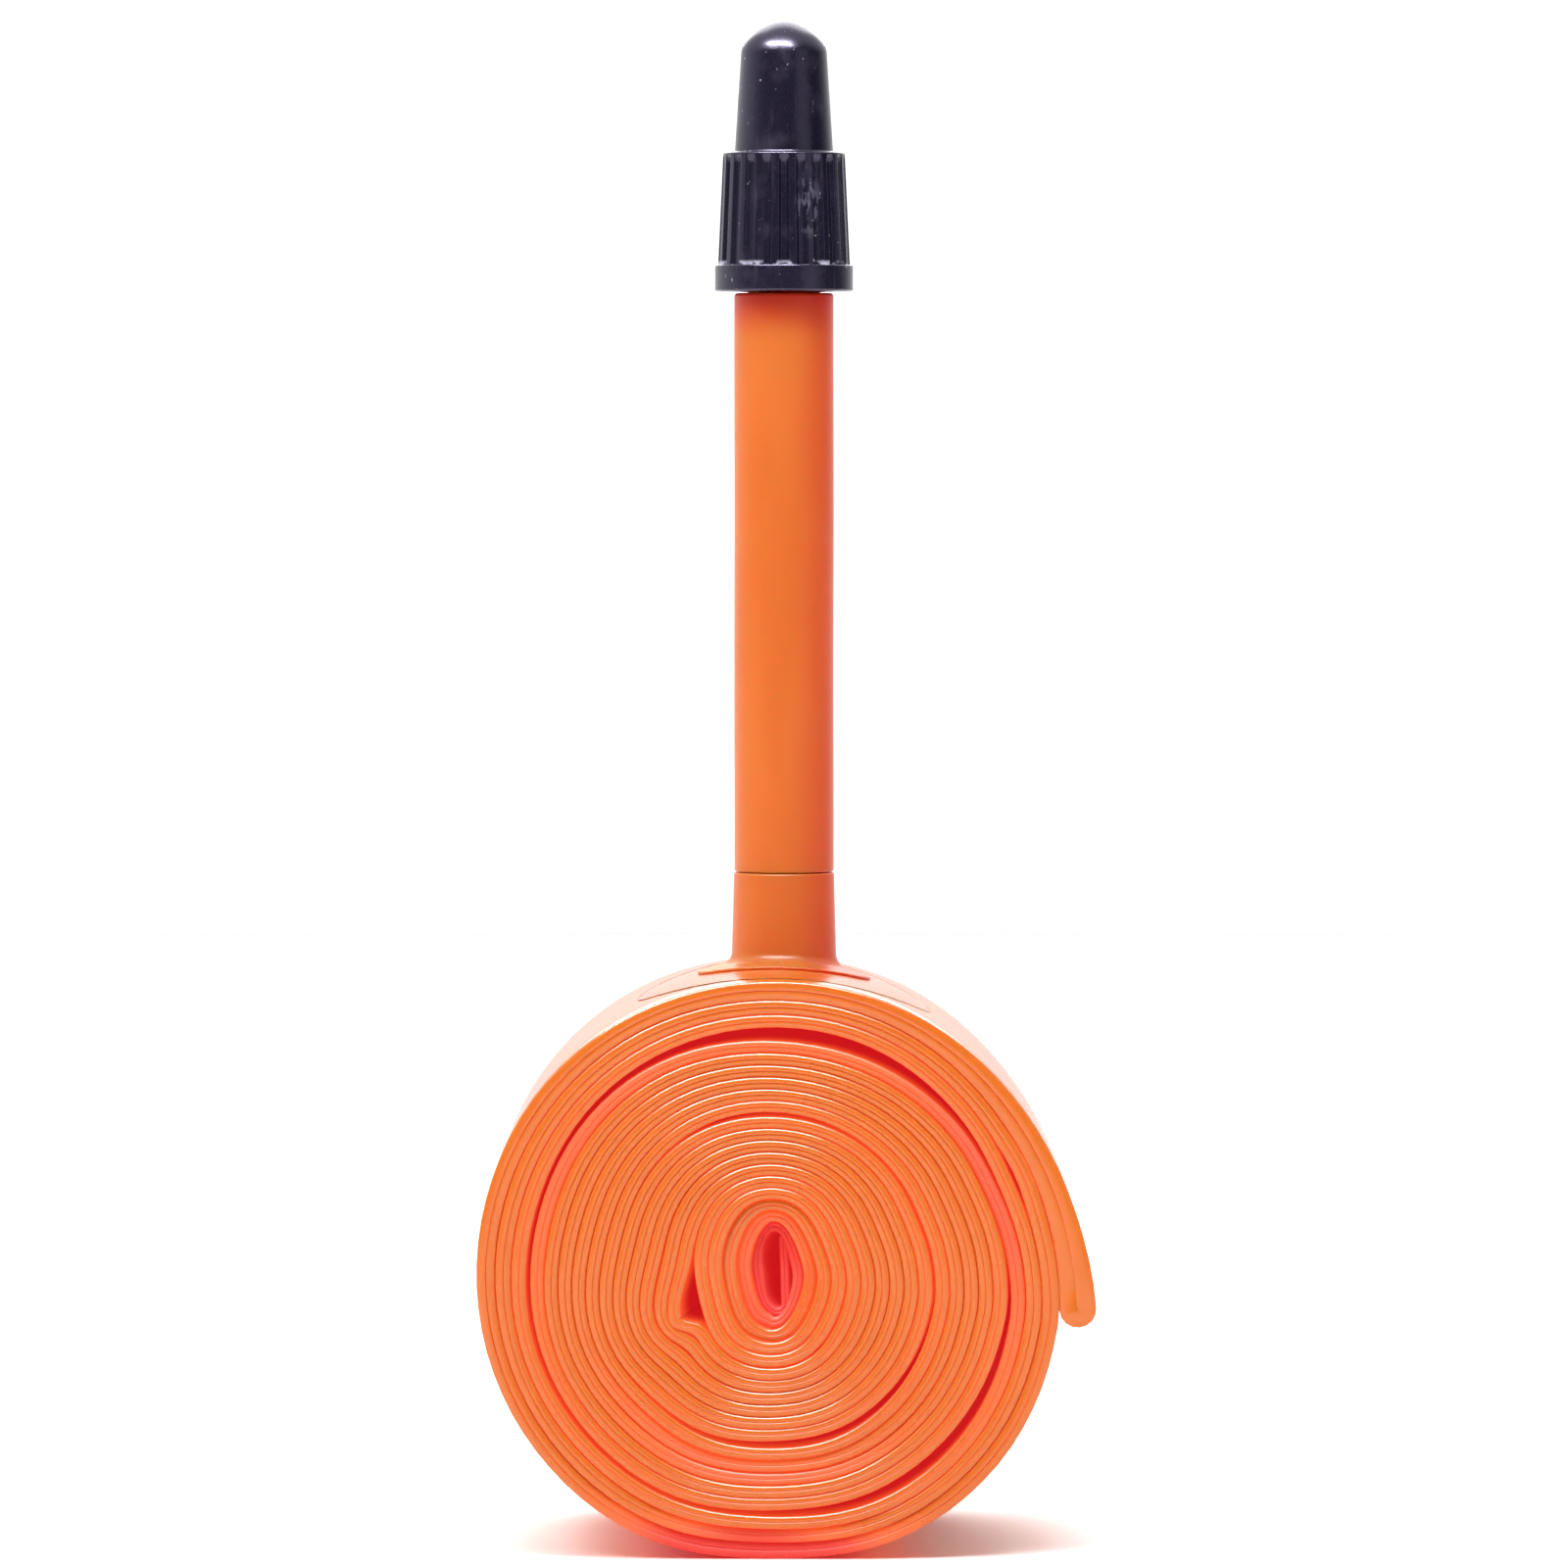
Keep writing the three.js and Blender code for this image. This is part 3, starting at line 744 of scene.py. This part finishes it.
def buildStem():
    # a plain tube; r grows by a narrow bell at two opposite angles for the mould line, and by a slow
    # wave along Z
    low, high = corners("valve_stem")
    foot = corners("valve_base")[1][2] + 0.06 * mm
    neckFloor = corners("threaded_neck")[0][2] - 0.1 * mm
    size = high[0]
    outline = [
        [stemSizes["airBore"], low[2], 0.05 * mm],
        [stemSizes["spigot"], low[2], 0.1 * mm],
        [stemSizes["spigot"], foot, 0.03 * mm],
        [size, foot, 0.1 * mm],
        [size, high[2], 0.2 * mm],
        [stemSizes["socket"], high[2], 0.05 * mm],
        [stemSizes["socket"], neckFloor, 0.05 * mm],
        [stemSizes["airBore"], neckFloor, 0.05 * mm],
    ]
    path = looped(outline, 0.6 * mm)

    def seam(r, z, a):
        line = hump(np.sin(a), stemSizes["seamWidth"]) * stemSizes["seamHeight"]
        outside = smooth((r - 2.9 * mm) / (0.08 * mm))
        sway = stemSizes["swayHeight"] * np.sin(z * 310 + 1.0) * np.cos(a - 0.7)
        return r + (line + sway) * outside - stemSizes["standIn"] * outside

    return turnedPiece("valveStem", path, 192, seam, ring=True)


def threadShape(depth, pitch, bottom, top, floor):
    # a helical thread cut into r: a trapezoid wave of z / pitch - a / full turn, fading out at bottom
    # and top. What lies inside the radius floor stays smooth.
    def shape(r, z, a):
        phase = (z / pitch - a / fullTurn) % 1
        ridge = np.clip(1.7 - np.abs(phase - 0.5) * 5.2, 0, 1)
        fade = smooth((z - bottom) / (0.3 * pitch)) * smooth((top - z) / (0.3 * pitch))
        return r - depth * (1 - ridge) * fade * (r > floor)
    return shape


neck = {
    "bore": 1.8 * mm,
    "spigot": 2.2 * mm,
    "stemGap": 0.08 * mm,      # from the stem's top to the threaded end
    "threadDepth": 0.28 * mm,
    "threadPitch": 25.4 * mm / 24,    # 24 turns to the inch
}


def buildNeck():
    # a spigot in the stem and a threaded end above it, with the bore that holds the core
    low, high = corners("threaded_neck")
    stemTop = corners("valve_stem")[1][2]
    foot = stemTop + neck["stemGap"]
    outline = [
        [neck["bore"], low[2], 0.03 * mm],
        [neck["spigot"], low[2], 0.08 * mm],
        [neck["spigot"], foot, 0.02 * mm],
        [high[0], foot, 0.15 * mm],
        [high[0], high[2], 0.3 * mm],
        [neck["bore"], high[2], 0.1 * mm],
    ]
    path = looped(outline, 0.055 * mm)
    bottom, top, floor = stemTop + 0.25 * mm, high[2] + 0.2 * mm, neck["spigot"] + 0.05 * mm
    thread = threadShape(neck["threadDepth"], neck["threadPitch"], bottom, top, floor)
    return turnedPiece("threadedNeck", path, 112, thread, ring=True)


core = {
    "bore": 0.85 * mm,
    "tail": 1.35 * mm,
    "body": 1.7 * mm,
    "flatAcross": 1.75 * mm,   # half the width over the two flats
    "headHeight": 1.0 * mm,
    "gasketTop": 2.2 * mm,     # under the head
    "gasketHeight": 1.4 * mm,
    "gasketDepth": 0.3 * mm,
    "threadDepth": 0.16 * mm,
    "threadPitch": 0.7 * mm,
}


def buildCoreBody():
    # a tail, a body with a groove for its rubber ring, a threaded stretch and a head with two flats
    low, high = corners("core_body")
    neckFloor = corners("threaded_neck")[0][2]
    head = high[2] - core["headHeight"]
    groove = head - core["gasketTop"]
    outline = [
        [core["bore"], low[2], 0.05 * mm],
        [core["tail"], low[2], 0.1 * mm],
        [core["tail"], neckFloor + 0.1 * mm, 0],
        [core["body"], neckFloor + 0.25 * mm, 0.05 * mm],
        [core["body"], groove - core["gasketHeight"], 0.04 * mm],
        [core["body"] - core["gasketDepth"], groove - core["gasketHeight"], 0.04 * mm],
        [core["body"] - core["gasketDepth"], groove, 0.04 * mm],
        [core["body"], groove, 0.04 * mm],
        [core["body"], head, 0.04 * mm],
        [high[1], head, 0.08 * mm],
        [high[1], high[2], 0.14 * mm],
        [core["bore"], high[2], 0.08 * mm],
    ]
    path = looped(outline, 0.09 * mm)
    bottom, top, floor = groove + 0.15 * mm, head - 0.1 * mm, core["body"] - 0.05 * mm
    thread = threadShape(core["threadDepth"], core["threadPitch"], bottom, top, floor)

    def flats(r, z, a):
        # over the head, r can't pass the plane x = flatAcross
        cut = core["flatAcross"] / np.maximum(np.abs(np.cos(a)), 0.01)
        return np.where(z > head - 0.01 * mm, np.minimum(r, cut), thread(r, z, a))

    return turnedPiece("coreBody", path, 96, flats, ring=True)


pin = {
    "rod": 0.7 * mm,
    "headHeight": 0.7 * mm,
    "crown": 0.3 * mm,         # height of the head's rounded top
    "crownAcross": 0.6 * mm,   # radius at the very top
    "threadDepth": 0.09 * mm,
    "threadPitch": 0.4 * mm,
}


def buildPin():
    # a rod with a wider, rounded head, threaded where the nut runs
    low, high = corners("core_pin")
    head = high[2] - pin["headHeight"]
    outline = [
        [0, low[2], 0],
        [pin["rod"], low[2], 0.12 * mm],
        [pin["rod"], head, 0.05 * mm],
        [high[0], head, 0.08 * mm],
        [high[0], high[2] - pin["crown"], 0.2 * mm],
        [pin["crownAcross"], high[2], 0.25 * mm],
        [0, high[2], 0],
    ]
    path = finer(rounded(outline), 0.06 * mm)
    bottom, top = corners("core_body")[1][2] - 1.2 * mm, high[2] - 0.9 * mm
    floor = pin["rod"] - 0.1 * mm
    thread = threadShape(pin["threadDepth"], pin["threadPitch"], bottom, top, floor)

    def shape(r, z, a):
        return np.where((z > bottom) & (z < top), thread(r, z, a), r)

    return turnedPiece("corePin", path, 40, shape)


nut = {
    "bore": 0.8 * mm,
    "bevel": 0.3 * mm,
    "waist": 1.4 * mm,         # height up to where the top starts to narrow
    "knurls": 26,
    "pointsPerKnurl": 8,
    "knurlDepth": 0.09 * mm,
}


def buildLockNut():
    # straight knurls round its waist: r less a share of |sin| of knurls times the angle
    low, high = corners("lock_nut")
    size, narrow = high[0], high[0] - nut["bevel"]
    outline = [
        [nut["bore"], low[2], 0.05 * mm],
        [narrow, low[2], 0.08 * mm],
        [size, low[2] + nut["bevel"], 0.08 * mm],
        [size, low[2] + nut["waist"], 0.15 * mm],
        [narrow, high[2], 0.12 * mm],
        [nut["bore"], high[2], 0.08 * mm],
    ]
    path = looped(outline, 0.07 * mm)

    def knurl(r, z, a):
        grip = smooth((r - narrow) / (0.5 * nut["bevel"])) * smooth((z - low[2]) / (0.2 * mm))
        valley = 1 - np.abs(np.sin(nut["knurls"] * a / 2))
        return r - nut["knurlDepth"] * valley * grip

    return turnedPiece("lockNut", path, nut["knurls"] * nut["pointsPerKnurl"], knurl, ring=True)


cap = {
    "ribs": 22,
    "pointsPerRib": 16,
    "ribHeight": 0.24 * mm,
    "domeTop": 2.60 * mm,      # radius where the dome's crown starts
    "domeFoot": 2.98 * mm,
    "crownHeight": 2.0 * mm,
    "crownPower": 1.7,
    "skirtTop": 3.68 * mm,
    "skirtFoot": 3.99 * mm,
    "rimHeight": 1.6 * mm,
    "shoulder": 83.83 * mm,
    "bore": 2.75 * mm,
    "tipBore": 2.0 * mm,
    "scuffAt": (-1.4, 3.1, -33.9),    # minus its centre, in the scuff's own stretched units
}


def buildCap():
    # outside: a crown (r / a)^p + (h / b)^p = 1 on a tapered dome, a shoulder, a tapered skirt with
    # grooves between its ribs, and a plain rim. Inside: a stepped bore.
    low, high = corners("dust_cap")
    coreTop = corners("core_body")[1][2]
    crownFoot = high[2] - cap["crownHeight"]
    lift = np.sin(np.linspace(math.pi / 2, 0, 26))[1:]
    crownR = cap["domeTop"] * (1 - lift ** cap["crownPower"]) ** (1 / cap["crownPower"])
    crown = np.stack([crownR, crownFoot + cap["crownHeight"] * lift], -1)
    ledge = low[2] + cap["rimHeight"]
    outside = rounded([
        [cap["domeTop"], crownFoot, 0],
        [cap["domeFoot"], cap["shoulder"] + 0.03 * mm, 0.14 * mm],
        [cap["skirtTop"], cap["shoulder"], 0.10 * mm],
        [cap["skirtFoot"], ledge, 0.02 * mm],
        [high[0] - 0.02 * mm, ledge - 0.02 * mm, 0.10 * mm],
        [high[0] - 0.02 * mm, low[2], 0.14 * mm],
        [cap["bore"] + 0.1 * mm, low[2], 0.1 * mm],
        [cap["bore"], low[2] + 0.15 * mm, 0.05 * mm],
        [cap["bore"], coreTop + 0.25 * mm, 0.05 * mm],
        [cap["tipBore"], coreTop + 1.05 * mm, 0.05 * mm],
        [cap["tipBore"], high[2] - 2.6 * mm, 0.3 * mm],
        [cap["tipBore"] - 1.0 * mm, high[2] - 1.62 * mm, 0.2 * mm],
        [0, high[2] - 1.62 * mm, 0],
    ])
    path = finer(np.vstack([[[0, high[2]]], crown, outside[1:]]), 0.16 * mm)

    def grooves(r, z, a):
        # a groove's share rises and falls with the cosine of ribs times the angle
        taper = (z - ledge) / (cap["shoulder"] - ledge)
        crest = cap["skirtFoot"] + (cap["skirtTop"] - cap["skirtFoot"]) * taper
        onSkirt = (z >= ledge - 0.001 * mm) & (r > crest - 0.3 * mm)
        groove = smooth((0.30 - np.cos(cap["ribs"] * a)) / 0.85)
        reach = smooth((cap["shoulder"] - 0.10 * mm - z) / (0.45 * mm))
        return r - cap["ribHeight"] * groove * reach * onSkirt

    return turnedPiece("dustCap", path, cap["ribs"] * cap["pointsPerRib"], grooves)


def stemPlastic(name, scale=1.0, paintedShade=False):
    # smooth moulded plastic: slow colour drift, fine drawn streaks along Z and a faint orange peel
    finish = Finish(name, IOR=1.42, Specular_IOR_Level=0.35)
    finish.set(Subsurface_Weight=0.8, Subsurface_Scale=0.0007)
    finish.shader.inputs["Subsurface Radius"].default_value = (3.0, 0.5, 0.15)
    drift = finish.noise(finish.spot((1, 1, 0.3)), 160.0, 3.0)
    drawn = finish.noise(finish.spot((1, 1, 0.04)), 2400.0, 2.0)
    peel = finish.noise(finish.spot(), 1800.0 * scale, 2.0)
    tone = finish.mix(finish.between(drift, 0.3, 0.7), colour(0.57, 0.122, 0.010), colour(0.61, 0.148, 0.016))
    if paintedShade:
        # painted shade: deeper red down one side, and a painted shadow at the top, over the insert, where the
        # cap shades the stem
        sideways, upward = finish.part(finish.spot(), 0), finish.part(finish.spot(), 2)
        top = corners("valve_stem")[1][2]
        tone = finish.mix(0.75 * finish.between(sideways, 0.0, 3.2 * mm), tone, colour(0.58, 0.045, 0.012))
        tone = finish.mix(0.9 * finish.between(upward, top - 3.2 * mm, top), tone, colour(0.52, 0.012, 0.008))
    finish.set(Base_Color=tone, Roughness=0.3 + drift * 0.1 + drawn * 0.06)
    fine = finish.bump(drawn, 0.000004, 0.4)
    finish.set(Normal=finish.bump(peel, 0.00001, 0.35, fine))
    return finish.material


def capPlastic():
    # satin black with dust in patches, specks, a scuff on the skirt and a painted highlight on the ledges at
    # its foot
    finish = Finish("capPlastic", IOR=1.6, Specular_Tint=colour(0.80, 0.72, 1.0))
    grain = finish.noise(finish.spot(), 5200.0, 2.0)
    patches = finish.between(finish.noise(finish.spot(), 420.0, 4.0, 0.6), 0.52, 0.78)
    specks = finish.between(finish.noise(finish.spot(), 3000.0, 1.0), 0.73, 0.78)
    streak = finish.between(finish.noise(finish.spot((1, 1, 0.12)), 2200.0, 2.0), 0.60, 0.75)
    dust = patches * 0.20 + streak * 0.08
    dusty = finish.mix(dust, colour(0.0025, 0.0015, 0.0100), colour(0.028, 0.022, 0.045))
    upward = finish.part(finish.spot(), 2)
    ledge = corners("dust_cap")[0][2] + cap["rimHeight"]
    # painted highlight: a pale band on the ledges at the skirt's foot, where light catches them, broken up by
    # noise
    wearAndHighlight = finish.between(upward, ledge - 0.06 * mm, ledge)
    wearAndHighlight = wearAndHighlight * finish.between(upward, ledge + 0.32 * mm, ledge + 0.05 * mm)
    ledgeHighlight = wearAndHighlight * finish.between(finish.noise(finish.spot(), 1300.0, 1.0), 0.50, 0.62)
    stretched = finish.spot((900, 900, 420), cap["scuffAt"])
    fromScuff = finish.node("ShaderNodeVectorMath", {"operation": "LENGTH"}, {0: stretched}, 1)
    rubbed = finish.between(finish.noise(finish.spot((1, 1, 0.4)), 3200.0, 3.0), 0.48, 0.60)
    scuff = finish.between(fromScuff, 1.0, 0.4) * rubbed
    marked = finish.mix(0.6 * specks, dusty, colour(0.35, 0.33, 0.36))
    marked = finish.mix(0.5 * scuff, marked, colour(0.16, 0.15, 0.22))
    finish.set(Base_Color=finish.mix(0.9 * ledgeHighlight, marked, colour(0.55, 0.53, 0.66)))
    finish.set(Roughness=0.24 + patches * 0.14 + streak * 0.08 + grain * 0.05)
    finish.set(Normal=finish.bump(grain, 0.000008, 0.4))
    return finish.material


def platedBrass():
    # nickel over brass with turning marks: rings in Z, and yellow where the plating is thin
    finish = Finish("platedBrass", Metallic=1.0)
    rings = finish.noise(finish.spot((0.02, 0.02, 1)), 9000.0, 3.0)
    wearAndHighlight = finish.between(finish.noise(finish.spot(), 1500.0, 4.0), 0.55, 0.75)
    finish.set(Base_Color=finish.mix(wearAndHighlight * 0.5, colour(0.60, 0.57, 0.52), colour(0.62, 0.44, 0.20)))
    finish.set(Roughness=0.2 + rings * 0.15 + wearAndHighlight * 0.1, Normal=finish.bump(rings, 0.000004, 0.3))
    return finish.material


def blackRubber():
    # matt rubber with a fine even pebble and a grey bloom
    finish = Finish("blackRubber", IOR=1.45)
    pebble = finish.noise(finish.spot(), 6000.0, 3.0)
    bloom = finish.noise(finish.spot(), 900.0, 3.0)
    finish.set(Base_Color=finish.mix(bloom * 0.6, colour(0.012, 0.012, 0.013), colour(0.04, 0.04, 0.04)))
    finish.set(Roughness=0.7 + pebble * 0.2, Normal=finish.bump(pebble, 0.00001, 0.5))
    return finish.material


stemFinish = stemPlastic("stemPlastic", paintedShade=True)
metal = platedBrass()
rubber = blackRubber()
place(buildPatch(), tubeFilm(False), "valve_patch", "tube")
place(buildBase(), stemFinish, "valve_base", "tube")
place(buildStem(), stemFinish, "valve_stem", "tube")
print("stage: base and stem")
place(buildNeck(), stemPlastic("neckPlastic", 1.6), "threaded_neck", "tube")
place(buildCoreBody(), metal, "core_body", "tube")
place(buildPin(), metal, "core_pin", "pin")
place(buildLockNut(), metal, "lock_nut", "lock_nut")
dress("core_gasket", rubber)
dress("pin_seal", rubber)
dress("pin_foot", metal)
print("stage: neck and core")
place(buildCap(), capPlastic(), "dust_cap", "cap")
print("stage: dust cap")
